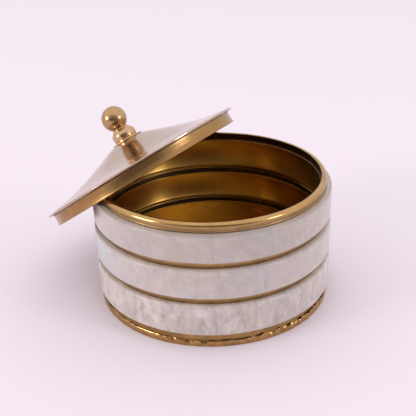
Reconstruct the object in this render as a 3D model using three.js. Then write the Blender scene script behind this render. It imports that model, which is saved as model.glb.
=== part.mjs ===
// Round brass trinket box faced with three rows of mother-of-pearl tiles.
// Its pagoda-shaped lid leans across the rim, with one side hanging outside the box.
// Millimetres, +Z up. The origin is the middle of the underside.
import * as THREE from "three";

// ---- driving dimensions -------------------------------------------------------------------
const TILE_R = 38; // outside of the tiles, which sets the size of the whole box
const TILE_ROWS = [[4.5, 14.3], [16.9, 26.1], [28.7, 37.5]]; // low and high edge of each row
const TILES_PER_ROW = 8;
const TILE_THICK = 1.9;
const GAP = 0.3; // between pieces that touch
const SHEET = 0.6; // brass sheet of the wall
const BEAD_OUT = 0.7; // how far the beads between the rows stand out of the wall
const ROLL_R = 1.2; // outside radius of the rolled rim
const BASE_THICK = 1.1;
const FOOT_HIGH = 2.1; // height of the base plate's upturned edge, which is the foot
const FLANGE_OUT = 1.6; // how far the base plate stands out past the wall
const BALL_R = 4.25;
const STUD_R = 1.5;
const SKIRT_DEPTH = 3.7;
const SKIRT_CLEAR = 0.4; // between the lid's skirt and the mouth of the box, all round
const BRIM_OVER = 1.6; // how far the brim reaches past the skirt
const LID_SHEET = 0.5; // spun brass of the lid
const LEAN_TILT = 35.4; // degrees that the lid leans over
const LEAN_TOWARDS = 147.5; // degrees round from +X, the way that the lid has slid off
const LEAN_SLIDE = 25.45; // from the box's axis to the middle of the skirt's lower edge
const LEAN_HEIGHT = 34.75; // of that same point

// ---- worked out from them -----------------------------------------------------------------
const WALL_OUT = TILE_R - TILE_THICK - GAP; // outside of the plain wall
const WALL_IN = WALL_OUT - SHEET;
const ROW_TOP = TILE_ROWS[TILE_ROWS.length - 1][1];
const ROLL_AT = [WALL_OUT - 0.6, ROW_TOP + 1.7]; // middle of the rolled rim's section
const MOUTH_R = ROLL_AT[0] - ROLL_R; // radius of the mouth, inside the roll
const BASE_R = WALL_OUT + FLANGE_OUT;
const SKIRT_OUT = MOUTH_R - SKIRT_CLEAR;
const BRIM_R = SKIRT_OUT + BRIM_OVER;
const CONE_TOP = SKIRT_DEPTH + 9.15; // height of the flat that carries the finial, above the skirt's edge
const BALL_AT = CONE_TOP + 8.2; // height of the ball's middle above the skirt's edge

const BRASS = { color: 0xb08d57, metalness: 1, roughness: 0.3 };
const OLD_BRASS = { color: 0x8a6428, metalness: 1, roughness: 0.45 };
const PEARL = { color: 0xd6d0cf, metalness: 0, roughness: 0.25 };

// ---- shared helpers -----------------------------------------------------------------------
const rad = THREE.MathUtils.degToRad;

// Points [radius, height] along an arc, angles in degrees from the outward direction.
function arc(middle, radius, from, to, steps) {
  return Array.from({ length: steps + 1 }, (_, i) => {
    const angle = rad(from + ((to - from) * i) / steps);
    return [middle[0] + radius * Math.cos(angle), middle[1] + radius * Math.sin(angle)];
  });
}

// Turned solid from an outline of [radius, height] points, anticlockwise seen with radius
// to the right. An outline that touches the axis starts and ends on it; any other is closed.
function turned(outline, segments) {
  const onAxis = outline[0][0] === 0;
  const points = (onAxis ? outline : [...outline, outline[0]]).map((p) => new THREE.Vector2(...p));
  return new THREE.LatheGeometry(points, segments);
}

// Block bent round the box's axis, between two radii, two heights and two angles in degrees.
function bentBlock(innerR, outerR, low, high, from, to, steps) {
  const shape = new THREE.Shape();
  shape.absarc(0, 0, outerR, rad(from), rad(to), false);
  shape.absarc(0, 0, innerR, rad(to), rad(from), true);
  const block = new THREE.ExtrudeGeometry(shape, {
    depth: high - low, bevelEnabled: false, curveSegments: steps,
  });
  return block.translate(0, 0, low);
}

function piece(name, geometry, look) {
  const mesh = new THREE.Mesh(geometry, new THREE.MeshStandardMaterial(look));
  mesh.name = name;
  return mesh;
}

// LatheGeometry turns about Y, so the turned pieces are stood up on +Z.
function turnedPiece(name, outline, look, segments = 60) {
  return piece(name, turned(outline, segments).rotateX(Math.PI / 2), look);
}

// ---- the box ------------------------------------------------------------------------------
// Wall of one sheet: a bead pressed outwards between each two rows, and the rim rolled over.
function wallShell() {
  const beadHalf = (TILE_ROWS[1][0] - TILE_ROWS[0][1]) / 2 - GAP;
  const outside = [[WALL_OUT, BASE_THICK + GAP]];
  const inside = [[WALL_IN, BASE_THICK + GAP]];
  for (let row = 1; row < TILE_ROWS.length; row++) {
    const middle = (TILE_ROWS[row - 1][1] + TILE_ROWS[row][0]) / 2;
    for (const [line, plain] of [[outside, WALL_OUT], [inside, WALL_IN]]) {
      line.push(
        [plain, middle - beadHalf],
        [plain + BEAD_OUT, middle - beadHalf + 0.4],
        [plain + BEAD_OUT, middle + beadHalf - 0.4],
        [plain, middle + beadHalf],
      );
    }
  }
  outside.push([WALL_OUT, ROW_TOP], ...arc(ROLL_AT, ROLL_R, -50, 178, 10));
  inside.push([WALL_IN, ROW_TOP], ...arc(ROLL_AT, ROLL_R - SHEET, -80, 168, 9));
  return turnedPiece("wall_shell", [...outside, ...inside.reverse()], OLD_BRASS);
}

// Shallow pan under the wall, whose upturned edge stands out as the foot.
function basePlate() {
  const inner = WALL_OUT + GAP;
  const outline = [
    [0, 0], [BASE_R - 0.3, 0], [BASE_R, 0.3], [BASE_R, FOOT_HIGH - 0.3], [BASE_R - 0.3, FOOT_HIGH],
    [inner, FOOT_HIGH], [inner, BASE_THICK], [0, BASE_THICK],
  ];
  return turnedPiece("base_plate", outline, OLD_BRASS);
}

// Band of metal that fills the corner between the foot's edge and the lowest row of tiles.
function footFillet() {
  const inner = WALL_OUT + GAP;
  const low = FOOT_HIGH + GAP;
  const high = TILE_ROWS[0][0] - GAP;
  const outline = [[inner, low], [inner + 0.8, low], [inner + 0.8, high - 0.4], [inner + 0.5, high], [inner, high]];
  return turnedPiece("foot_fillet", outline, OLD_BRASS);
}

// Each row starts half a tile on from the one below, so the seams don't line up.
function pearlTiles() {
  const pitch = 360 / TILES_PER_ROW;
  const seam = THREE.MathUtils.radToDeg(GAP / TILE_R);
  return TILE_ROWS.flatMap(([low, high], row) =>
    Array.from({ length: TILES_PER_ROW }, (_, i) => {
      const from = pitch * (i + row / 2) + seam / 2;
      const block = bentBlock(TILE_R - TILE_THICK, TILE_R, low, high, from, from + pitch - seam, 6);
      return piece(`pearl_row${row + 1}_tile${i + 1}`, block, PEARL);
    }),
  );
}

// ---- the lid, made upright with its skirt's lower edge at height 0 -------------------------
// Upper side of the lid as [radius, height above the skirt's top], from the brim to the flat.
const LID_SLOPE = [
  [BRIM_R, 0.75], [31.6, 1.45], [26.6, 2.2], [20, 3.95], [13.3, 6.25], [8.6, 8.0], [6.1, 8.85],
  [5.0, CONE_TOP - SKIRT_DEPTH],
];

function lidCone() {
  const above = LID_SLOPE.map(([r, h]) => [r, SKIRT_DEPTH + h]);
  const below = LID_SLOPE.slice(1).reverse().map(([r, h]) => [r, SKIRT_DEPTH + h - LID_SHEET]);
  const outline = [
    ...below, [BRIM_R - 0.15, SKIRT_DEPTH + 0.25], [BRIM_R, SKIRT_DEPTH + 0.35],
    ...above, [STUD_R + GAP, CONE_TOP], [STUD_R + GAP, CONE_TOP - LID_SHEET],
  ];
  return turnedPiece("lid_cone", outline, BRASS);
}

function lidSkirt() {
  const inner = SKIRT_OUT - 0.8;
  const top = SKIRT_DEPTH;
  const outline = [
    [inner, 0.15], [inner + 0.15, 0], [SKIRT_OUT - 0.15, 0], [SKIRT_OUT, 0.15],
    [SKIRT_OUT, top - 0.1], [inner, top],
  ];
  return turnedPiece("lid_skirt", outline, BRASS);
}

// Turned stem: stud through the cone, foot disc, straight-sided bead, neck, and a dish for the ball.
function finialStem() {
  const foot = CONE_TOP + GAP;
  const outline = [
    [0, CONE_TOP - 5], [STUD_R - 0.3, CONE_TOP - 5], [STUD_R, CONE_TOP - 4.7], [STUD_R, foot],
    [5.25, foot], [5.45, foot + 0.2], [5.25, foot + 0.4], [3.6, foot + 0.5],
    [4.0, foot + 0.9], [4.1, foot + 1.6], [4.0, foot + 2.4], [3.1, foot + 3.2],
    [2.4, foot + 3.7],
    ...arc([0, BALL_AT], BALL_R + GAP, -60, -90, 4),
  ];
  outline[outline.length - 1][0] = 0;
  return turnedPiece("finial_stem", outline, BRASS, 28);
}

function finialBall() {
  const outline = arc([0, BALL_AT], BALL_R, -90, 90, 12);
  outline[0][0] = 0;
  outline[outline.length - 1][0] = 0;
  return turnedPiece("finial_ball", outline, BRASS, 24);
}

// Ring under the cone's flat, which spreads the nut's grip.
function finialWasher() {
  const top = CONE_TOP - LID_SHEET - GAP;
  const bore = STUD_R + GAP;
  return turnedPiece("finial_washer", [[bore, top - 0.5], [3.2, top - 0.5], [3.2, top], [bore, top]], BRASS, 24);
}

function finialNut() {
  const top = CONE_TOP - LID_SHEET - GAP - 0.5 - GAP;
  const shape = new THREE.Shape(
    Array.from({ length: 6 }, (_, i) => new THREE.Vector2(3 * Math.cos(rad(60 * i)), 3 * Math.sin(rad(60 * i)))),
  );
  shape.holes.push(new THREE.Path().absarc(0, 0, STUD_R + GAP, 0, 2 * Math.PI, true));
  const nut = new THREE.ExtrudeGeometry(shape, { depth: 1.6, bevelEnabled: false, curveSegments: 12 });
  return piece("finial_nut", nut.translate(0, 0, top - 1.6), BRASS);
}

// Carries the upright lid to where it leans across the rim.
function leanOver(meshes) {
  const away = new THREE.Vector3(Math.cos(rad(LEAN_TOWARDS)), Math.sin(rad(LEAN_TOWARDS)), 0);
  const hinge = new THREE.Vector3(0, 0, 1).cross(away);
  const place = new THREE.Matrix4().makeRotationAxis(hinge, rad(LEAN_TILT));
  place.setPosition(away.multiplyScalar(LEAN_SLIDE).setZ(LEAN_HEIGHT));
  for (const mesh of meshes) mesh.geometry.applyMatrix4(place);
  return meshes;
}

const box = new THREE.Group();
box.name = "trinket_box";
box.add(
  wallShell(), basePlate(), footFillet(), ...pearlTiles(),
  ...leanOver([lidCone(), lidSkirt(), finialStem(), finialBall(), finialWasher(), finialNut()]),
);

export default box;
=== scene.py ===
import math
import random

import bmesh
import bpy
from mathutils import Matrix, Vector, noise


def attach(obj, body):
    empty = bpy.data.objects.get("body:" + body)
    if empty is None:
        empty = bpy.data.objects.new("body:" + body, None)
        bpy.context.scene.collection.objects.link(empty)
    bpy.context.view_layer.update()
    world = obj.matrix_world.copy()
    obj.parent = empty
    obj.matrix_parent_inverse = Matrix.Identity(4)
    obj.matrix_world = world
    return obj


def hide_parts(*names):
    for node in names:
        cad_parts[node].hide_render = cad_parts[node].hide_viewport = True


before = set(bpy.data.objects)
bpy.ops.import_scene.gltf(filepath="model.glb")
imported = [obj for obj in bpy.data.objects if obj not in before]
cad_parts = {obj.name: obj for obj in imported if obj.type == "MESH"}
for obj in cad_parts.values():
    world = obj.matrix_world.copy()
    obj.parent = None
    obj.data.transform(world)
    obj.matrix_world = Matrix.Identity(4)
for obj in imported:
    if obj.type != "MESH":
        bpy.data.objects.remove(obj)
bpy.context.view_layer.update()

# ---- sizes, in millimetres, as the solid frame has them ------------------------------------
MM = 0.001
TILE_R = 38.0
TILE_THICK = 1.9
TILE_ROWS = ((4.5, 14.3), (16.9, 26.1), (28.7, 37.5))
GROOVES = ((13.8, 16.4), (25.4, 28.2))  # the bead's hollow side, seen inside the box
TOP_ROW = len(TILE_ROWS) - 1
TILES_PER_ROW = 8
TILE_BACK = TILE_R - TILE_THICK
SEAM = 0.0004  # radians between two tiles
WALL_OUT = 35.8
WALL_IN = 35.2
BAND_IN = 36.1  # inside of the brass band above the foot
ROLL_AT = (35.2, 39.2)  # middle of the rolled rim's section
ROLL_R = 1.2
BASE_R = 37.4
BASE_THICK = 1.1
FOOT_HIGH = 2.1
WORKED_FROM = 37.0  # the foot is hand-worked outside this radius
ROUGHEST_AT = math.radians(312)  # the side of the foot with the most lumps
SKIRT_DEPTH = 3.7
SKIRT_OUT = 33.6
BRIM_R = 35.2
LID_SHEET = 0.5
CONE_TOP = 12.85  # flat that carries the finial, above the skirt's edge
BALL_AT = 21.05  # middle of the ball, above the skirt's edge
BALL_R = 4.25
STUD_R = 1.5
LEAN_TILT = 35.4  # degrees
LEAN_TOWARDS = 147.5  # degrees round from +X
LEAN_SLIDE = 25.45  # from the box's axis to the middle of the skirt's edge
LEAN_HEIGHT = 34.75  # of that middle, above the table

# ---- finish, shared by every brass ---------------------------------------------------------
PATCH_ROUGHNESS = 0.08  # how much rougher the dull patches are
LINE_ROUGHNESS = 0.08  # how much rougher the spun lines are
SMOOTHEST = 0.04
LINE_DEPTH = 0.00003  # metres
SCRATCHES_PER_MM = 0.9
SCRATCH_WIDTH = 0.012
SCRATCH_DEPTH = 0.2  # against the spun lines


# ---- mesh helpers --------------------------------------------------------------------------
def rounded(corners, steps=5):
    """Outline points from corners (r, z, fillet radius); a corner with no fillet stays sharp."""
    out = []
    count = len(corners)
    for i, corner in enumerate(corners):
        here = Vector(corner[:2])
        fillet = corner[2] if len(corner) > 2 else 0
        if not fillet:
            out.append(tuple(here))
            continue
        before = Vector(corners[i - 1][:2]) - here
        after = Vector(corners[(i + 1) % count][:2]) - here
        turn = before.angle(after)
        reach = min(fillet / math.tan(turn / 2), before.length * 0.49, after.length * 0.49)
        start, end = here + before.normalized() * reach, here + after.normalized() * reach
        for k in range(steps + 1):
            t = k / steps
            out.append(tuple(start * (1 - t) ** 2 + here * 2 * t * (1 - t) + end * t * t))
    return out


def arc(middle, radius, start, end, steps):
    """Points along an arc of the section, angles in degrees from the outward direction."""
    points = []
    for k in range(steps + 1):
        a = math.radians(start + (end - start) * k / steps)
        points.append((middle[0] + radius * math.cos(a), middle[1] + radius * math.sin(a)))
    return points


def finish_mesh(name, bm, sharp=35):
    """Object from a bmesh, which remembers where each point was turned and which way round it lies."""
    bmesh.ops.recalc_face_normals(bm, faces=bm.faces)
    mesh = bpy.data.meshes.new(name)
    bm.to_mesh(mesh)
    bm.free()
    mesh.shade_smooth()
    mesh.set_sharp_from_angle(angle=math.radians(sharp))
    places, ways = [], []
    for vertex in mesh.vertices:
        x, y, z = vertex.co
        away = math.hypot(x, y) or 1.0
        places += (x, y, z)
        ways += (-y / away, x / away, 0.0)
    mesh.attributes.new("turned_at", "FLOAT_VECTOR", "POINT").data.foreach_set("vector", places)
    mesh.attributes.new("way_round", "FLOAT_VECTOR", "POINT").data.foreach_set("vector", ways)
    piece = bpy.data.objects.new(name, mesh)
    bpy.context.scene.collection.objects.link(piece)
    return piece


def turned(name, outline, segments, sharp=35, shape=None):
    """Solid turned from an outline of (r, z) in mm. shape moves each point, given (r, z, angle)."""
    bm = bmesh.new()
    rings = []
    for r, z in outline:
        if r < 1e-6:
            rings.append([bm.verts.new((0, 0, z * MM))])
            continue
        ring = []
        for k in range(segments):
            a = 2 * math.pi * k / segments
            rr, zz = shape(r, z, a) if shape else (r, z)
            ring.append(bm.verts.new((rr * MM * math.cos(a), rr * MM * math.sin(a), zz * MM)))
        rings.append(ring)
    pairs = list(zip(rings, rings[1:]))
    if len(rings[0]) > 1:
        pairs.append((rings[-1], rings[0]))
    for low, high in pairs:
        if len(low) == 1 and len(high) == 1:
            continue
        for k in range(segments):
            n = (k + 1) % segments
            if len(low) == 1:
                bm.faces.new((low[0], high[k], high[n]))
            elif len(high) == 1:
                bm.faces.new((low[k], low[n], high[0]))
            else:
                bm.faces.new((low[k], low[n], high[n], high[k]))
    return finish_mesh(name, bm, sharp)


def place(piece, body, slot, *nodes):
    """Puts a finished piece on its body and hides the nodes that it stands for; the finish it is given (slot)
    is not used.
    """
    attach(piece, body)
    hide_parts(*nodes)


# ---- node helpers --------------------------------------------------------------------------
def node(tree, kind, x=0, y=0, **settings):
    made = tree.nodes.new(kind)
    made.location = (x, y)
    for key, value in settings.items():
        setattr(made, key, value)
    return made


def link(tree, source, target):
    tree.links.new(source, target)


def attribute(tree, name, x=0, y=0):
    return node(tree, "ShaderNodeAttribute", x, y, attribute_name=name)


def maths(tree, operation, a, b=None, x=0, y=0, clamp=False):
    made = node(tree, "ShaderNodeMath", x, y, operation=operation, use_clamp=clamp)
    for i, value in enumerate((a, b)):
        if value is None:
            continue
        if isinstance(value, (int, float)):
            made.inputs[i].default_value = value
        else:
            link(tree, value, made.inputs[i])
    return made.outputs[0]


def mix_colours(tree, factor, a, b, x=0, y=0, blend="MIX"):
    made = node(tree, "ShaderNodeMix", x, y, data_type="RGBA", blend_type=blend)
    for socket, value in ((made.inputs[0], factor), (made.inputs[6], a), (made.inputs[7], b)):
        if isinstance(value, (int, float)):
            socket.default_value = value
        elif isinstance(value, tuple):
            socket.default_value = (*value, 1)
        else:
            link(tree, value, socket)
    return made.outputs[2]


def times_plus(tree, value, factor, plus, x=0, y=0):
    """value * factor + plus, where plus is a number or a socket."""
    made = maths(tree, "MULTIPLY_ADD", value, factor, x, y)
    if isinstance(plus, (int, float)):
        made.node.inputs[2].default_value = plus
    else:
        link(tree, plus, made.node.inputs[2])
    return made


def map_range(tree, value, limits, results, x=0, y=0, smooth=True):
    """Value carried from the pair of limits to the pair of results, and held at the ends."""
    kind = "SMOOTHSTEP" if smooth else "LINEAR"
    made = node(tree, "ShaderNodeMapRange", x, y, interpolation_type=kind)
    for label, number in zip(("From Min", "From Max", "To Min", "To Max"), (*limits, *results)):
        made.inputs[label].default_value = number
    link(tree, value, made.inputs["Value"])
    return made.outputs[0]


def group(name, inputs, outputs):
    tree = bpy.data.node_groups.new(name, "ShaderNodeTree")
    kinds = {"value": "NodeSocketFloat", "colour": "NodeSocketColor", "vector": "NodeSocketVector"}
    for label, kind, default in inputs:
        made = tree.interface.new_socket(label, in_out="INPUT", socket_type=kinds[kind])
        if default is not None:
            made.default_value = default
    for label, kind in outputs:
        tree.interface.new_socket(label, in_out="OUTPUT", socket_type=kinds[kind])
    return tree, node(tree, "NodeGroupInput", -1200), node(tree, "NodeGroupOutput", 900)


def spun_lines_group():
    """Fine rings that a turning tool and polishing cloth leave round a piece's own axis."""
    tree, source, sink = group(
        "Spun lines",
        [("Lines per mm", "value", 3.0), ("Waviness", "value", 0.35)],
        [("Height", "value")],
    )
    parts = node(tree, "ShaderNodeSeparateXYZ", -1000, -300)
    link(tree, attribute(tree, "turned_at", -1200, -300).outputs["Vector"], parts.inputs[0])
    x, y, z = parts.outputs
    flat = node(tree, "ShaderNodeCombineXYZ", -800, -200)
    link(tree, x, flat.inputs[0])
    link(tree, y, flat.inputs[1])
    # fast change across the lines: distance from the axis plus height
    away = node(tree, "ShaderNodeVectorMath", -600, -200, operation="LENGTH")
    link(tree, flat.outputs[0], away.inputs[0])
    along = maths(tree, "ADD", away.outputs["Value"], z, -400, -250)
    per_metre = maths(tree, "MULTIPLY", source.outputs["Lines per mm"], 1000, -800, 100)
    across = maths(tree, "MULTIPLY", along, per_metre, -200, -100)
    # slow change along them: position on the plan
    waves = maths(tree, "MULTIPLY", source.outputs["Waviness"], 100, -800, 250)
    spread = node(tree, "ShaderNodeVectorMath", -400, 100, operation="SCALE")
    link(tree, flat.outputs[0], spread.inputs[0])
    link(tree, waves, spread.inputs["Scale"])
    plan = node(tree, "ShaderNodeSeparateXYZ", -200, 100)
    link(tree, spread.outputs[0], plan.inputs[0])
    spot = node(tree, "ShaderNodeCombineXYZ", 0, 0)
    link(tree, plan.outputs[0], spot.inputs[0])
    link(tree, plan.outputs[1], spot.inputs[1])
    link(tree, across, spot.inputs[2])
    lines = node(tree, "ShaderNodeTexNoise", 200, 0)
    lines.inputs["Scale"].default_value = 1.0
    lines.inputs["Detail"].default_value = 3.0
    link(tree, spot.outputs[0], lines.inputs["Vector"])
    link(tree, lines.outputs["Fac"], sink.inputs["Height"])
    return tree


def patches_group():
    """Soft cloudy patches for tarnish, hand polishing and fingering."""
    tree, source, sink = group(
        "Cloudy patches",
        [("Patch size mm", "value", 8.0), ("Contrast", "value", 0.5), ("Seed", "value", 0.0)],
        [("Mask", "value")],
    )
    spot = node(tree, "ShaderNodeTexCoord", -1200, -300).outputs["Object"]
    scale = maths(tree, "DIVIDE", 1000.0, source.outputs["Patch size mm"], -900, 100)
    cloud = node(tree, "ShaderNodeTexNoise", -500, 0, noise_dimensions="4D")
    cloud.inputs["Detail"].default_value = 5.0
    cloud.inputs["Roughness"].default_value = 0.6
    link(tree, spot, cloud.inputs["Vector"])
    link(tree, scale, cloud.inputs["Scale"])
    link(tree, source.outputs["Seed"], cloud.inputs["W"])
    centred = maths(tree, "SUBTRACT", cloud.outputs["Fac"], 0.5, -200, 0)
    gain = maths(tree, "MULTIPLY", source.outputs["Contrast"], 4.0, -400, 250)
    spread = maths(tree, "MULTIPLY", centred, gain, 100, 50)
    link(tree, maths(tree, "ADD", spread, 0.5, 300, 0, clamp=True), sink.inputs["Mask"])
    return tree


def scratches_group():
    """Short fine scratches lying every way, from cleaning and handling."""
    tree, source, sink = group(
        "Fine scratches",
        [("Per mm", "value", 1.0)],
        [("Height", "value")],
    )
    spot = node(tree, "ShaderNodeTexCoord", -1200, -300).outputs["Object"]
    scale = maths(tree, "MULTIPLY", source.outputs["Per mm"], 1000, -900, 100)
    total = None
    for k, turn in enumerate(((0.3, 0.1, 0.5), (1.2, 0.7, 2.1), (2.3, 1.9, 0.9))):
        spin = node(tree, "ShaderNodeMapping", -800, -300 * k)
        spin.inputs["Rotation"].default_value = turn
        spin.inputs["Scale"].default_value = (1, 0.06, 1)
        link(tree, spot, spin.inputs["Vector"])
        hair = node(tree, "ShaderNodeTexNoise", -500, -300 * k)
        hair.inputs["Detail"].default_value = 1.0
        link(tree, spin.outputs[0], hair.inputs["Vector"])
        link(tree, scale, hair.inputs["Scale"])
        centred = maths(tree, "SUBTRACT", hair.outputs["Fac"], 0.5, -300, -300 * k)
        ridge = maths(tree, "ABSOLUTE", centred, None, -100, -300 * k)
        cut = maths(tree, "LESS_THAN", ridge, SCRATCH_WIDTH, 100, -300 * k)
        total = cut if total is None else maths(tree, "ADD", total, cut, 300, -300 * k)
    link(tree, total, sink.inputs["Height"])
    return tree


SPUN = spun_lines_group()
PATCHES = patches_group()
SCRATCHES = scratches_group()


def use(tree, made_group, x=0, y=0, **values):
    made = node(tree, "ShaderNodeGroup", x, y)
    made.node_tree = made_group
    for key, value in values.items():
        made.inputs[key.replace("_", " ")].default_value = value
    return made


def material(name):
    made = bpy.data.materials.new(name)
    made.use_nodes = True
    tree = made.node_tree
    shader = tree.nodes["Principled BSDF"]
    shader.location = (700, 0)
    tree.nodes["Material Output"].location = (1000, 0)
    return made, tree, shader


def brass(name, bright, dull, dirt, rough, lines, line_bump, patch_mm, seed, dirt_share=0.2, swirl=0.0):
    """Brass that runs from bright to dull in soft patches, with spun lines, grime and scratches.

    dirt_share is how much of the grime's colour comes through, and swirl is how far the spun
    lines draw the highlights out across themselves. rough is about the middle of the roughness
    that the patches and the lines give between them.
    """
    made, tree, shader = material(name)
    patch = use(tree, PATCHES, -900, 200, Patch_size_mm=patch_mm, Contrast=0.6, Seed=seed)
    grime = use(tree, PATCHES, -900, -50, Patch_size_mm=patch_mm * 0.35, Contrast=1.2, Seed=seed + 7)
    spun = use(tree, SPUN, -900, -300, Lines_per_mm=lines, Waviness=0.3)
    marks = use(tree, SCRATCHES, -900, -550, Per_mm=SCRATCHES_PER_MM)
    metal = mix_colours(tree, patch.outputs["Mask"], bright, dull, -600, 200)
    dirty = maths(tree, "MULTIPLY", grime.outputs["Mask"], dirt_share, -600, 0)
    colour = mix_colours(tree, dirty, metal, dirt, -300, 200)
    link(tree, colour, shader.inputs["Base Color"])
    shader.inputs["Metallic"].default_value = 1.0
    uneven = times_plus(tree, patch.outputs["Mask"], PATCH_ROUGHNESS, rough - 0.06, -300, 0)
    streaky = times_plus(tree, spun.outputs["Height"], LINE_ROUGHNESS, uneven, -100, -50)
    link(tree, maths(tree, "MAXIMUM", streaky, SMOOTHEST, 100, -50), shader.inputs["Roughness"])
    scored = times_plus(tree, marks.outputs["Height"], -SCRATCH_DEPTH, spun.outputs["Height"], -500, -450)
    bump = node(tree, "ShaderNodeBump", 300, -300)
    bump.inputs["Strength"].default_value = line_bump
    bump.inputs["Distance"].default_value = LINE_DEPTH
    link(tree, scored, bump.inputs["Height"])
    link(tree, bump.outputs[0], shader.inputs["Normal"])
    if swirl:
        shader.inputs["Anisotropic"].default_value = swirl
        shader.inputs["Anisotropic Rotation"].default_value = 0.25
        way = attribute(tree, "way_round", 100, -550)
        turned_way = node(tree, "ShaderNodeVectorTransform", 300, -550, vector_type="VECTOR")
        turned_way.convert_from, turned_way.convert_to = "OBJECT", "WORLD"
        link(tree, way.outputs["Vector"], turned_way.inputs[0])
        link(tree, turned_way.outputs[0], shader.inputs["Tangent"])
    return made


def nacre(name):
    """Mother-of-pearl: milky, with faint pink, lilac and blue-green lights, silk and growth lines."""
    made, tree, shader = material(name)
    spot = node(tree, "ShaderNodeTexCoord", -1900, 0).outputs["Object"]
    cut = attribute(tree, "shell_cut", -1900, -250)
    own = node(tree, "ShaderNodeVectorMath", -1700, 0, operation="ADD")
    link(tree, spot, own.inputs[0])
    link(tree, cut.outputs["Vector"], own.inputs[1])
    silky, lined, edge_dark, blue, milk_and_ledge_light = (
        attribute(tree, label, -1900, -500 - 250 * k).outputs["Fac"]
        for k, label in enumerate(("silk", "growth_lines", "dark_top_edge", "blue_light", "milk_and_ledge_light")))

    def stretched(amount, slant, x, y):
        squeeze = node(tree, "ShaderNodeMapping", x, y)
        squeeze.inputs["Scale"].default_value = (1, 1, amount)
        squeeze.inputs["Rotation"].default_value = (slant, slant * 0.6, 0)
        link(tree, own.outputs[0], squeeze.inputs["Vector"])
        return squeeze.outputs[0]

    def cloud(size_mm, vector, detail, distortion, x, y):
        made_cloud = node(tree, "ShaderNodeTexNoise", x, y)
        made_cloud.inputs["Scale"].default_value = 1000 / size_mm
        made_cloud.inputs["Detail"].default_value = detail
        made_cloud.inputs["Distortion"].default_value = distortion
        link(tree, vector, made_cloud.inputs["Vector"])
        return made_cloud.outputs["Fac"]

    # soft tints, milky and coloured
    growth = cloud(11, stretched(1.8, 0.0, -1500, 300), 3, 1.0, -1200, 300)
    tint = cloud(16, stretched(1.3, 0.2, -1500, 0), 2, 0.6, -1200, 0)
    silk = cloud(2.0, stretched(0.22, 0.1, -1500, -300), 3, 0.4, -1200, -300)
    lights = node(tree, "ShaderNodeValToRGB", -900, 0)
    lights.color_ramp.elements[0].position = 0.30
    lights.color_ramp.elements[0].color = (0.54, 0.58, 0.57, 1)
    lights.color_ramp.elements[1].position = 0.76
    lights.color_ramp.elements[1].color = (0.67, 0.56, 0.47, 1)
    for position, colour in ((0.40, (0.63, 0.56, 0.57, 1)), (0.50, (0.67, 0.58, 0.53, 1)),
                             (0.60, (0.63, 0.58, 0.53, 1)), (0.68, (0.66, 0.57, 0.55, 1))):
        lights.color_ramp.elements.new(position).color = colour
    link(tree, tint, lights.inputs[0])
    milky = mix_colours(tree, growth, (0.59, 0.515, 0.485), (0.72, 0.63, 0.585), -900, 250)
    body = mix_colours(tree, 0.5, milky, lights.outputs[0], -600, 200)

    # silk: facets with wandering edges, fine streaks and blotches
    facets = node(tree, "ShaderNodeTexVoronoi", -1200, -600)
    facets.inputs["Scale"].default_value = 700
    warp = node(tree, "ShaderNodeVectorMath", -1350, -600, operation="ADD")
    wander = node(tree, "ShaderNodeTexNoise", -1500, -800)
    wander.inputs["Scale"].default_value = 350
    shrink = node(tree, "ShaderNodeVectorMath", -1350, -800, operation="SCALE")
    shrink.inputs["Scale"].default_value = 0.0025
    link(tree, own.outputs[0], wander.inputs["Vector"])
    link(tree, wander.outputs["Color"], shrink.inputs[0])
    link(tree, stretched(0.5, 0.15, -1500, -600), warp.inputs[0])
    link(tree, shrink.outputs[0], warp.inputs[1])
    link(tree, warp.outputs[0], facets.inputs["Vector"])
    parts = node(tree, "ShaderNodeSeparateColor", -1000, -600)
    link(tree, facets.outputs["Color"], parts.inputs[0])
    both = times_plus(tree, parts.outputs[0], 0.4, silk, -850, -500)
    mottle = cloud(2.6, stretched(1.5, 0.1, -1500, -1100), 5, 0.8, -1200, -1100)
    blotch = cloud(5.0, stretched(0.8, 0.4, -1500, -1400), 3, 1.2, -1200, -1400)
    patchy = maths(tree, "ADD", both, blotch, -800, -600)
    swing = maths(tree, "MULTIPLY", maths(tree, "SUBTRACT", patchy, 1.2, -700, -500), silky, -550, -500)
    uneven = times_plus(tree, maths(tree, "ADD", mottle, blotch, -1000, -1200), 0.22, -0.22, -850, -1200)
    clouded = maths(tree, "ADD", swing, uneven, -500, -700)
    # the milkiness attribute also carries the painted highlight on the lower rows' top ledges
    shine = maths(tree, "ADD", clouded, milk_and_ledge_light, -400, -500)
    grey = node(tree, "ShaderNodeCombineColor", -250, -400)
    for power, socket in zip((1.0, 1.12, 1.22), grey.inputs):
        link(tree, maths(tree, "POWER", shine, power, -350, -400), socket)
    silked = mix_colours(tree, 1.0, body, grey.outputs[0], -100, 100, blend="MULTIPLY")

    # growth lines, where the slow tint crosses nine levels
    bands = maths(tree, "FRACT", maths(tree, "MULTIPLY", growth, 9.0, -1000, 600), None, -850, 600)
    edge = maths(tree, "ABSOLUTE", maths(tree, "SUBTRACT", bands, 0.5, -700, 600), None, -550, 600)
    line = map_range(tree, edge, (0.0, 0.09), (1.0, 0.0), -400, 600)
    drawn = maths(tree, "MULTIPLY", line, lined, -200, 600)
    ringed = mix_colours(tree, drawn, silked, (0.42, 0.50, 0.51), 100, 250)
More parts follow.
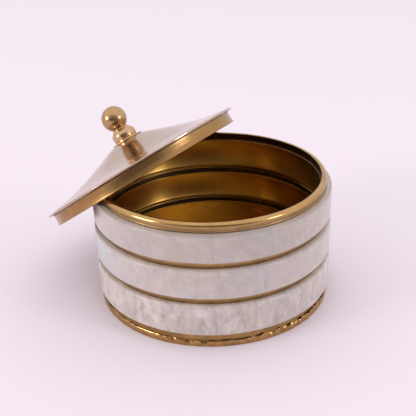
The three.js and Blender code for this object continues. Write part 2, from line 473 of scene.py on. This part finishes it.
    # a darker brown band along the tiles' top edges, and the bluest spot
    edge_lines = use(tree, SPUN, -400, 850, Lines_per_mm=1.5, Waviness=0.1)
    edge_streaks = times_plus(tree, edge_lines.outputs["Height"], 0.8, 0.2, -200, 850)
    edge_darkening = maths(tree, "MULTIPLY", edge_streaks, edge_dark, 0, 850, clamp=True)
    bluish = maths(tree, "MULTIPLY", maths(tree, "MULTIPLY", growth, 1.2, 0, 400), blue, 150, 400, clamp=True)
    tinted = mix_colours(tree, bluish, ringed, (0.47, 0.62, 0.68), 250, 350)
    colour = mix_colours(tree, edge_darkening, tinted, (0.33, 0.25, 0.20), 350, 250)
    link(tree, colour, shader.inputs["Base Color"])
    link(tree, times_plus(tree, growth, 0.16, 0.16, 350, -50), shader.inputs["Roughness"])
    shader.inputs["IOR"].default_value = 1.53
    shader.inputs["Coat Weight"].default_value = 0.25
    shader.inputs["Coat Roughness"].default_value = 0.08
    bump = node(tree, "ShaderNodeBump", 450, -300)
    bump.inputs["Strength"].default_value = 0.2
    bump.inputs["Distance"].default_value = 0.0001
    link(tree, maths(tree, "MULTIPLY", both, silky, 250, -300), bump.inputs["Height"])
    link(tree, bump.outputs[0], shader.inputs["Normal"])
    return made


LID_BRASS = brass("Polished lid brass", (0.61, 0.47, 0.38), (0.55, 0.41, 0.32), (0.36, 0.23, 0.14),
                  0.12, 2.2, 0.10, 14, 1.0, dirt_share=0.08)
SKIRT_BRASS = brass("Brushed skirt brass", (0.48, 0.28, 0.11), (0.30, 0.165, 0.06), (0.18, 0.09, 0.03),
                    0.22, 3.5, 0.30, 13, 4.0, dirt_share=0.15, swirl=0.5)
STEM_BRASS = brass("Bright stem brass", (0.68, 0.46, 0.26), (0.56, 0.36, 0.18), (0.26, 0.14, 0.05),
                   0.15, 5.0, 0.15, 5, 19.0, dirt_share=0.15)
FINIAL_BRASS = brass("Turned finial brass", (0.58, 0.37, 0.19), (0.47, 0.29, 0.135), (0.22, 0.11, 0.04),
                     0.17, 5.0, 0.15, 5, 17.0, dirt_share=0.25)
RIM_BRASS = brass("Rolled rim brass", (0.60, 0.38, 0.155), (0.50, 0.29, 0.11), (0.24, 0.12, 0.04),
                  0.11, 3.0, 0.15, 8, 11.0, dirt_share=0.15)
INSIDE_BRASS = brass("Brushed inside brass", (0.685, 0.43, 0.12), (0.565, 0.345, 0.08), (0.26, 0.145, 0.035),
                     0.27, 3.5, 0.22, 18, 29.0, dirt_share=0.10, swirl=0.85)
# near-black brass that paints the shade in the inside grooves and in the recess under the rolled rim
GROOVE_AND_RIM_SHADE = brass("Painted shade brass in grooves and under the rim", (0.10, 0.055, 0.025), (0.05, 0.025, 0.012), (0.02, 0.01, 0.006),
                0.42, 3.0, 0.20, 8, 33.0, dirt_share=0.4)
# near-black brass that paints the shade under the lid's brim, on the top of the skirt
BRIM_SHADE_BRASS = brass("Painted shade under the brim", (0.20, 0.12, 0.06), (0.12, 0.07, 0.035), (0.05, 0.03, 0.015),
                     0.38, 3.0, 0.20, 4, 35.0, dirt_share=0.3)
BEAD_BRASS = brass("Dull bead brass", (0.50, 0.33, 0.15), (0.38, 0.24, 0.10), (0.18, 0.09, 0.04),
                   0.26, 3.0, 0.15, 6, 37.0, dirt_share=0.25)
BAND_BRASS = brass("Foot band brass", (0.49, 0.30, 0.115), (0.33, 0.185, 0.065), (0.17, 0.085, 0.03),
                   0.20, 3.0, 0.15, 5, 39.0, dirt_share=0.3)
FOOT_BRASS = brass("Worn foot brass", (0.62, 0.37, 0.145), (0.37, 0.20, 0.07), (0.17, 0.085, 0.03),
                   0.11, 2.0, 0.25, 4, 41.0, dirt_share=0.3)
FIXING_BRASS = brass("Plain fixing brass", (0.66, 0.48, 0.26), (0.55, 0.38, 0.19), (0.30, 0.18, 0.08),
                     0.28, 4.0, 0.30, 3, 23.0)
NACRE = nacre("Mother-of-pearl")


# ---- the box -------------------------------------------------------------------------------
def wobble(angle, height, size, amount, seed):
    """Small hand-made unevenness that repeats round the piece."""
    spot = Vector((math.cos(angle) * size, math.sin(angle) * size, height * 0.2 + seed))
    return noise.noise(spot) * amount


def wall_outline():
    """Section of the sheet: a flat-topped bead under each row, its hollow side inside, a rolled rim."""
    outside = [(WALL_OUT, 1.4)]
    inside = [(WALL_IN, 1.4)]
    for (lower, upper), (groove_low, groove_high) in zip(zip(TILE_ROWS, TILE_ROWS[1:]), GROOVES):
        low, high = lower[1] + 0.1, upper[0] - 0.12
        outside += rounded([
            (WALL_OUT + 0.15, low - 0.7), (36.3, low, 0.1), (36.7, low + 0.9, 0.35),
            (36.95, high - 0.6, 0.5), (36.9, high + 0.02, 0.08), (36.1, high + 0.05), (WALL_OUT, high + 0.6),
        ], 5)
        middle = (groove_low + groove_high) / 2
        inside += rounded([
            (WALL_IN, groove_low - 0.9), (WALL_IN - 0.3, groove_low - 0.35, 0.15),
            (WALL_IN - 0.28, groove_low, 0.12), (WALL_IN + 0.5, groove_low + 0.12, 0.1),
            (WALL_IN + 0.75, middle - 0.35, 0.3), (WALL_IN + 0.3, middle, 0.1),
            (WALL_IN + 0.85, middle + 0.4, 0.3), (WALL_IN + 0.75, groove_high - 0.1, 0.2),
            (WALL_IN - 0.2, groove_high - 0.05, 0.08), (WALL_IN - 0.22, groove_high + 0.3, 0.12),
            (WALL_IN, groove_high + 0.6),
        ], 4)
    top = TILE_ROWS[-1][1]
    outside += rounded([
        (WALL_OUT, top - 0.3), (35.95, top + 0.12, 0.05), (36.34, top + 0.12, 0.08),
        (36.36, top + 0.5, 0.1), (36.2, top + 0.62, 0.08), (36.36, top + 0.8, 0.1)], 3)
    outside += arc(ROLL_AT, ROLL_R, -12, 115, 20)
    inside += rounded([
        (WALL_IN, top - 0.6), (35.0, top - 0.28, 0.15), (34.4, top - 0.1, 0.1), (34.35, top + 0.45, 0.08),
        (34.62, top + 0.62, 0.06), (34.62, top + 1.3, 0.05), (34.8, top + 1.4, 0.05),
        (34.6, top + 1.5, 0.05), (34.55, top + 2.3, 0.15)], 3)
    return outside + inside[::-1]


def wall_finish(face):
    """Which of the wall's brasses a face wears: bright rim, brushed inside, near-black painted shade in the
    grooves and under the rim, dull beads.
    """
    bright, brushed, dark, dull = range(4)
    top = TILE_ROWS[-1][1]
    middle = face.center / MM
    r, z = math.hypot(middle.x, middle.y), middle.z
    facing_in = (face.normal.x * middle.x + face.normal.y * middle.y) / r < 0.25
    in_groove = any(low + 0.03 < z < high - 0.05 for low, high in GROOVES)
    at_rib = any(abs(z - (low + high) / 2) < 0.22 for low, high in GROOVES)
    if facing_in and r < 36 and z < top + 0.35:
        # faces deep in the inside grooves take the near-black painted shade
        return dark if in_groove and not at_rib and r > WALL_IN - 0.12 else brushed
    # the inside recess under the rolled rim takes the near-black painted shade
    if facing_in and r < 34.9 and top + 0.5 < z < top + 2.8:
        return dark
    if z < top - 1 or (r > 36.0 and z < top + 1.9) or (z > top + 2 and r < 35.12):
        return dull
    return bright


def box_wall():
    def shape(r, z, a):
        return r + wobble(a, z, 1.3, 0.07, 3.1), z + wobble(a, 0, 1.1, 0.08, 8.4) * (z / 40)

    piece = turned("box_wall", wall_outline(), 288, 45, shape)
    for metal in (RIM_BRASS, INSIDE_BRASS, GROOVE_AND_RIM_SHADE, BEAD_BRASS):
        piece.data.materials.append(metal)
    for face in piece.data.polygons:
        face.material_index = wall_finish(face)
    place(piece, "box", "box_brass", "wall_shell")


def box_foot():
    """Shallow pan under the wall. Its upturned edge is lumpy and nicked from hand work."""
    outline = [(0, 0), (30, 0), (35, 0)] + rounded([
        (BASE_R - 0.9, 0), (BASE_R - 0.1, 0.02, 0.2), (BASE_R, 0.4, 0.2), (BASE_R, 1.15, 0.5),
        (BASE_R - 0.2, 1.85, 0.5), (37.02, FOOT_HIGH + 0.08, 0.15), (36.97, 1.6, 0.1),
        (BAND_IN, 1.45, 0.1), (BAND_IN - 0.2, BASE_THICK)], 6)
    outline += [(30, BASE_THICK), (0, BASE_THICK)]

    def shape(r, z, a):
        if r < WORKED_FROM:
            return r, z
        high = min(1.0, z / FOOT_HIGH)
        rough_side = 0.25 + 0.85 * max(0.0, math.cos(a - ROUGHEST_AT)) ** 6
        dent = 0.6 * min(0.0, wobble(a, 0, 5, 0.6, 5.5) + wobble(a, 0, 13, 0.5, 9.1))
        pit = (wobble(a, z, 20, 0.7, 31.0) + wobble(a, z * 4, 34, 0.5, 47.0)) * rough_side
        lump = (wobble(a, 2, 20, 0.5, 3.3) + wobble(a, 3, 34, 0.4, 5.3)) * rough_side
        rise = wobble(a, 1, 9, 0.15, 13.7) + lump - 0.08
        return r + (dent * 0.3 + pit * 0.8) * (0.2 + 0.8 * high) - 0.03, max(z + high * rise, 0)

    piece = turned("box_foot", outline, 720, 50, shape)
    piece.data.materials.append(FOOT_BRASS)
    piece.data.materials.append(INSIDE_BRASS)
    for face in piece.data.polygons:
        on_floor = face.normal.z > 0.5 and math.hypot(*face.center[:2]) < (BAND_IN + 0.1) * MM
        face.material_index = int(on_floor)
    place(piece, "box", "box_brass", "base_plate")


def foot_bead():
    """Solder run between the foot's edge and the lowest tiles, smooth above and uneven below."""
    low, high = 1.6, TILE_ROWS[0][0] - 0.08
    outline = rounded([
        (BAND_IN, low), (36.8, low, 0.1), (36.88, low + 0.5, 0.3), (36.95, low + 1.2, 0.3),
        (36.9, high - 0.5, 0.3), (36.75, high, 0.1), (BAND_IN, high)], 5)

    def shape(r, z, a):
        share = (high - z) / (high - low)
        out = (r - BAND_IN) / 0.85
        middle = out * max(0.0, 1 - abs(share - 0.4) * 3)
        rr = r + middle * (wobble(a, 0, 9, 0.3, 2.2) + wobble(a, z, 25, 0.3, 6.2))
        return rr, z + middle * (wobble(a, 0, 12, 0.3, 7.7) + wobble(a, 0, 30, 0.25, 9.7))

    piece = turned("foot_bead", outline, 480, 40, shape)
    piece.data.materials.append(BAND_BRASS)
    place(piece, "box", "box_brass", "foot_fillet")


# silk, growth lines and milkiness of each row of shell, lowest first
ROW_CHARACTER = ((0.36, 0.0, 0.92), (0.08, 0.4, 0.90), (0.05, 0.06, 0.82))
BLUE_LIGHT = (math.radians(205), 22.0)  # angle and height of the bluest spot of the shell


def tile_outline(row):
    """Section of a tile, eased at its corners, with extra points up its face."""
    low, high = TILE_ROWS[row]
    drop = 0.4 if row == TOP_ROW else 0.55  # where the face starts to round over, below the top
    points = rounded([
        (TILE_BACK, low), (TILE_R - 0.1, low, 0.12), (TILE_R, low + 0.25, 0.2),
        (TILE_R, high - drop, 0.5), (TILE_R - drop * 0.8, high - 0.08, 0.3),
        (36.95, high, 0.15), (TILE_BACK, high)], 4)
    tall = max(range(len(points) - 1), key=lambda i: points[i + 1][1] - points[i][1])
    (r0, z0), (r1, z1) = points[tall], points[tall + 1]
    rise = [(r0 + (r1 - r0) * k / 8, z0 + (z1 - z0) * k / 8) for k in range(1, 8)]
    return points[:tall + 1] + rise + points[tall + 1:]


def tile_stations(first, last, steps=30):
    """Angles across a tile, each with how far the face is eased back there, in mm."""
    easing = [(0.0, 0.03), (0.0006, 0.008), (0.0016, 0.0)]
    inner_first, inner_last = first + easing[-1][0], last - easing[-1][0]
    stations = [(first + d, e) for d, e in easing]
    stations += [(inner_first + (inner_last - inner_first) * k / steps, 0.0) for k in range(1, steps)]
    return stations + [(last - d, e) for d, e in reversed(easing)]


def pearl_tile(row, index):
    """One bent shell tile with eased edges, its own slight lift and its own cut of shell."""
    high = TILE_ROWS[row][1]
    pitch = 2 * math.pi / TILES_PER_ROW
    first = pitch * (index + row / 2) + SEAM / 2
    last = first + pitch - SEAM
    pick = random.Random(100 * row + index)
    proud = pick.uniform(-0.04, 0.0)
    lean = pick.uniform(-0.02, 0.02)
    silk, lines, milk_and_ledge_light = ROW_CHARACTER[row]
    points = tile_outline(row)
    bm = bmesh.new()
    rings, edge_dark, blue, milk_and_ledge_light_values = [], [], [], []
    for angle, ease in tile_stations(first, last):
        ring = []
        share = (angle - first) / (last - first) - 0.5
        for r, z in points:
            outer = (r - TILE_BACK) / TILE_THICK
            lift = proud + lean * share - ease + wobble(angle, z, 2.5, 0.05, row * 3 + 0.5) - 0.02
            rr, zz = r + outer * lift, z + outer * wobble(angle, row * 9, 3.5, 0.1, 4.4)
            ring.append(bm.verts.new((rr * MM * math.cos(angle), rr * MM * math.sin(angle), zz * MM)))
            # a darker brown band along each tile's top edge, strongest on the top row
            at_edge = 37.0 < r < TILE_R - 0.02 and z > high - 0.5
            edge_dark.append((0.9 if row == TOP_ROW else 0.3) if at_edge else 0.0)
            # painted highlight: the lower rows' top ledges are made lighter, standing in for light reaching
            # the gap under the bead
            on_ledge = row < TOP_ROW and z > high - 0.3 and r < TILE_R - 0.2
            milk_and_ledge_light_values.append(milk_and_ledge_light + (0.14 if on_ledge else 0.0))
            aside, over = (angle - BLUE_LIGHT[0]) / 0.16, (z - BLUE_LIGHT[1]) / 3.5
            blue.append(math.exp(-aside ** 2 - over ** 2))
        rings.append(ring)
    count = len(points)
    for one, two in zip(rings, rings[1:]):
        for k in range(count):
            n = (k + 1) % count
            bm.faces.new((one[k], one[n], two[n], two[k]))
    bm.faces.new(rings[0])
    bm.faces.new(rings[-1])
    piece = finish_mesh(f"pearl_row{row + 1}_tile{index + 1}_shell", bm, 50)
    mesh = piece.data
    offset = (pick.uniform(-0.3, 0.3), pick.uniform(-0.3, 0.3), pick.uniform(-0.3, 0.3))
    silk *= pick.uniform(0.7, 1.3)
    lines *= pick.uniform(0.5, 1.5)
    points_made = len(edge_dark)
    mesh.attributes.new("shell_cut", "FLOAT_VECTOR", "POINT").data.foreach_set("vector", offset * points_made)
    for label, values in (("silk", [silk] * points_made), ("growth_lines", [lines] * points_made),
                          ("dark_top_edge", edge_dark), ("blue_light", blue), ("milk_and_ledge_light", milk_and_ledge_light_values)):
        mesh.attributes.new(label, "FLOAT", "POINT").data.foreach_set("value", values)
    mesh.materials.append(NACRE)
    place(piece, "box", "mother_of_pearl", f"pearl_row{row + 1}_tile{index + 1}")


# ---- the lid, drawn upright about its own axis and then leant over --------------------------
def lean_matrix():
    towards = math.radians(LEAN_TOWARDS)
    away = Vector((math.cos(towards), math.sin(towards), 0))
    hinge = Vector((0, 0, 1)).cross(away)
    spot = away * LEAN_SLIDE * MM + Vector((0, 0, LEAN_HEIGHT * MM))
    return Matrix.Translation(spot) @ Matrix.Rotation(math.radians(LEAN_TILT), 4, hinge)


LEANING = lean_matrix()


def lid_piece(piece, metal, body, slot, *nodes):
    """Tilts a piece drawn upright on the lid's axis to where the lid leans, and finishes it."""
    piece.data.transform(LEANING)
    turn = LEANING.to_3x3()
    for item in piece.data.attributes["way_round"].data:
        item.vector = turn @ Vector(item.vector)
    piece.data.materials.append(metal)
    place(piece, body, slot, *nodes)


def smooth_line(points, steps=6):
    """Catmull-Rom curve through the points."""
    out = []
    ends = [points[0]] + list(points) + [points[-1]]
    for p0, p1, p2, p3 in zip(ends, ends[1:], ends[2:], ends[3:]):
        for k in range(steps):
            t = k / steps
            out.append(tuple(
                0.5 * (2 * b + (c - a) * t + (2 * a - 5 * b + 4 * c - d) * t * t
                       + (3 * b - a - 3 * c + d) * t ** 3)
                for a, b, c, d in zip(p0, p1, p2, p3)))
    out.append(tuple(points[-1]))
    return out


def lid_top():
    """Spun sheet: a hollow cone with a dished slope, a flat brim and a small flat for the finial."""
    slope = [(34.6, 0.86), (31.6, 1.4), (26.6, 2.15), (20, 3.95),
             (13.3, 6.25), (8.6, 8.0), (6.1, 8.85), (5.1, 9.12)]  # radius, height above the skirt
    above = [(r, SKIRT_DEPTH + h) for r, h in smooth_line(slope)]
    below = [(r, z - LID_SHEET) for r, z in reversed(above)]
    edge = rounded([
        (34.4, SKIRT_DEPTH + 0.3), (BRIM_R - 0.2, SKIRT_DEPTH + 0.17, 0.1),
        (BRIM_R, SKIRT_DEPTH + 0.32, 0.1), (BRIM_R + 0.03, SKIRT_DEPTH + 0.62, 0.12),
        (BRIM_R - 0.2, SKIRT_DEPTH + 0.84, 0.15), (34.7, SKIRT_DEPTH + 0.84)], 4)
    flat = [(4.6, CONE_TOP), (1.8, CONE_TOP), (1.8, CONE_TOP - LID_SHEET), (4.6, CONE_TOP - LID_SHEET)]
    outline = below + edge + above + flat

    def shape(r, z, a):
        out = r / 35
        return r + wobble(a, 0, 1.2, 0.06, 12.0) * out, z + wobble(a, 0, 1.4, 0.08, 6.0) * out ** 2

    lid_piece(turned("lid_top", outline, 320, 50, shape), LID_BRASS, "lid", "lid_brass", "lid_cone")


def lid_skirt():
    """Soldered ring, drawn in a little at half height and flared at its open edge."""
    top = SKIRT_DEPTH + 0.15
    # height above which the skirt, under the brim's overhang, is painted near-black as shade
    brim_shade_from = SKIRT_DEPTH - 0.15
    outline = rounded([
        (SKIRT_OUT - 0.75, 0.05, 0.1), (SKIRT_OUT - 0.1, 0, 0.1), (SKIRT_OUT + 0.18, 0.12, 0.1),
        (SKIRT_OUT + 0.05, 0.6, 0.4), (SKIRT_OUT - 0.1, 1.6, 0.8), (SKIRT_OUT - 0.08, 3.0, 0.5),
        (SKIRT_OUT - 0.05, brim_shade_from - 0.01), (SKIRT_OUT, top, 0.1), (SKIRT_OUT - 0.8, top)], 5)

    def shape(r, z, a):
        return r + wobble(a, z, 1.5, 0.05, 21.0), z + wobble(a, 0, 1.8, 0.05, 26.0)

    ring = turned("lid_skirt_ring", outline, 320, 50, shape)
    # the top of the skirt, under the brim, takes the painted shade
    for face in ring.data.polygons:
        face.material_index = int(face.center.z > brim_shade_from * MM)
    lid_piece(ring, SKIRT_BRASS, "lid", "lid_brass", "lid_skirt")
    ring.data.materials.append(BRIM_SHADE_BRASS)


def finial_stem():
    """Stud, thin foot disc, straight-sided bead with a coned shoulder, and the neck under the ball."""
    foot = CONE_TOP + 0.02
    outline = [(0, CONE_TOP - 5), (1.2, CONE_TOP - 5), (STUD_R, CONE_TOP - 4.7), (STUD_R, foot)]
    outline += rounded([
        (4.9, foot), (5.32, foot - 0.06, 0.04), (5.45, foot + 0.04, 0.08), (5.2, foot + 0.24, 0.2),
        (3.95, foot + 0.3, 0.12), (3.85, foot + 0.6, 0.15), (4.05, foot + 0.9, 0.3),
        (4.14, foot + 2.35, 0.4), (3.85, foot + 3.0, 0.3), (3.05, foot + 3.95, 0.3),
        (2.7, foot + 4.4, 0.2)], 4)[1:]
    outline += arc((0, BALL_AT), BALL_R + 0.05, -54, -90, 6)
    outline[-1] = (0, outline[-1][1])

    def shape(r, z, a):
        if r <= STUD_R + 0.1:
            return r, z
        low = max(0.0, (BALL_AT - 4.3 - z) / 3.9)
        return r + 0.2 * low * math.cos(a - 0.35), z  # the stem sits a little to one side

    neck = turned("finial_neck", outline, 120, 40, shape)
    lid_piece(neck, STEM_BRASS, "lid", "lid_brass", "finial_stem")


def finial_ball():
    outline = arc((0, BALL_AT), BALL_R, -90, 90, 40)
    outline[0] = (0, outline[0][1])
    outline[-1] = (0, outline[-1][1])
    knob = turned("finial_knob", outline, 96, 60)
    lid_piece(knob, FINIAL_BRASS, "finial_ball", "lid_brass", "finial_ball")


def fixings():
    """Washer and six-sided nut on the stud, inside the lid."""
    top = CONE_TOP - LID_SHEET - 0.05
    ring = rounded([(1.7, top - 0.5, 0.05), (3.2, top - 0.5, 0.12), (3.2, top, 0.05), (1.7, top, 0.05)], 3)
    lid_piece(turned("washer", ring, 64, 40), FIXING_BRASS, "lid", "fixing_brass", "finial_washer")
    high, low = top - 0.6, top - 2.2
    outline = rounded([
        (1.55, low, 0), (2.55, low, 0.05), (3.0, low + 0.25, 0.05),
        (3.0, high - 0.25, 0.05), (2.55, high, 0.05), (1.55, high, 0)], 2)

    def six_sided(r, z, a):
        if r <= 2.7:
            return r, z
        flat = 2.6 / math.cos((a + math.pi / 6) % (math.pi / 3) - math.pi / 6)
        return min(r, flat), z

    nut = turned("nut", outline, 72, 25, six_sided)
    lid_piece(nut, FIXING_BRASS, "lid", "fixing_brass", "finial_nut")


box_wall()
box_foot()
foot_bead()
for row in range(len(TILE_ROWS)):
    for index in range(TILES_PER_ROW):
        pearl_tile(row, index)
lid_top()
lid_skirt()
finial_stem()
finial_ball()
fixings()


# ---- floor, light and camera ---------------------------------------------------------------
def pale_floor():
    bpy.ops.mesh.primitive_plane_add(size=12)
    floor = bpy.context.object
    floor.name = "floor"
    made, tree, shader = material("Pale floor")
    speck = node(tree, "ShaderNodeTexNoise", -400, 0)
    speck.inputs["Scale"].default_value = 3
    colour = mix_colours(tree, speck.outputs["Fac"], (0.89, 0.81, 0.885), (0.865, 0.785, 0.855), -150, 0)
    link(tree, colour, shader.inputs["Base Color"])
    shader.inputs["Roughness"].default_value = 0.9
    floor.data.materials.append(made)


def softbox(name, spot, size, glow):
    """Square-cornered soft box at spot, turned towards the object, as bright at any size."""
    lamp = bpy.data.lights.new(name, "AREA")
    lamp.shape = "RECTANGLE"
    lamp.size, lamp.size_y = size
    lamp.energy = glow * math.pi * size[0] * size[1]
    lamp.color = (1.0, 0.97, 1.0)
    holder = bpy.data.objects.new(name, lamp)
    holder.location = spot
    holder.rotation_mode = "QUATERNION"
    holder.rotation_quaternion = (Vector((0, 0, 0.03)) - Vector(spot)).to_track_quat("-Z", "Y")
    bpy.context.scene.collection.objects.link(holder)


def white_tent():
    """White all round, a little brighter overhead, and much dimmer in front."""
    world = bpy.data.worlds.new("White tent, dimmer in front")
    world.use_nodes = True
    tree = world.node_tree
    back = tree.nodes["Background"]
    direction = node(tree, "ShaderNodeSeparateXYZ", -800, 0)
    link(tree, node(tree, "ShaderNodeTexCoord", -1000, 0).outputs["Generated"], direction.inputs[0])
    away, up = direction.outputs[1], direction.outputs[2]
    front = map_range(tree, away, (-0.95, -0.35), (0.18, 1.0), -600, 100)
    above = map_range(tree, up, (0.0, 1.0), (0.9, 1.1), -600, -200, smooth=False)
    behind = times_plus(tree, up, -1.2, away, -700, -500)
    low_back = map_range(tree, behind, (0.0, 0.5), (1.0, 0.85), -600, -500)
    glow = maths(tree, "MULTIPLY", front, above, -400, 0)
    glow = maths(tree, "MULTIPLY", glow, low_back, -300, 0)
    colour = mix_colours(tree, glow, (0.02, 0.015, 0.012), (0.98, 0.955, 0.97), -200, 0)
    link(tree, colour, back.inputs["Color"])
    back.inputs["Strength"].default_value = 1.09
    bpy.context.scene.world = world


def camera():
    """Looks down on the box from the front, from about 27 cm away."""
    lens = bpy.data.cameras.new("camera")
    lens.sensor_width = 36
    lens.lens = 71.87
    lens.shift_x, lens.shift_y = 0.0012, 0.0077
    lens.clip_start = 0.01
    eye = bpy.data.objects.new("camera", lens)
    elevation, distance, aim = math.radians(27.656), 0.27228, Vector((0, 0, 0.019))
    yaw, pitch, roll = (math.radians(angle) for angle in (0.334, 1.451, 1.641))
    eye.location = aim + distance * Vector((0, -math.cos(elevation), math.sin(elevation)))
    forward = (aim - eye.location).normalized()
    right = Vector((1, 0, 0))
    up = right.cross(forward)
    turn = Matrix.Rotation(yaw, 3, up)
    forward, right = turn @ forward, turn @ right
    turn = Matrix.Rotation(pitch, 3, right)
    forward, up = turn @ forward, turn @ up
    turn = Matrix.Rotation(roll, 3, forward)
    right, up = turn @ right, turn @ up
    eye.rotation_mode = "QUATERNION"
    eye.rotation_quaternion = Matrix((right, up, -forward)).transposed().to_quaternion()
    bpy.context.scene.collection.objects.link(eye)
    bpy.context.scene.camera = eye


pale_floor()
softbox("left_window", (-1.0, -0.42, 0.34), (0.40, 0.30), 9.0)
softbox("right_window", (0.95, -0.50, 0.52), (0.26, 0.26), 7.5)
white_tent()
camera()
bpy.context.scene.view_settings.view_transform = "Standard"
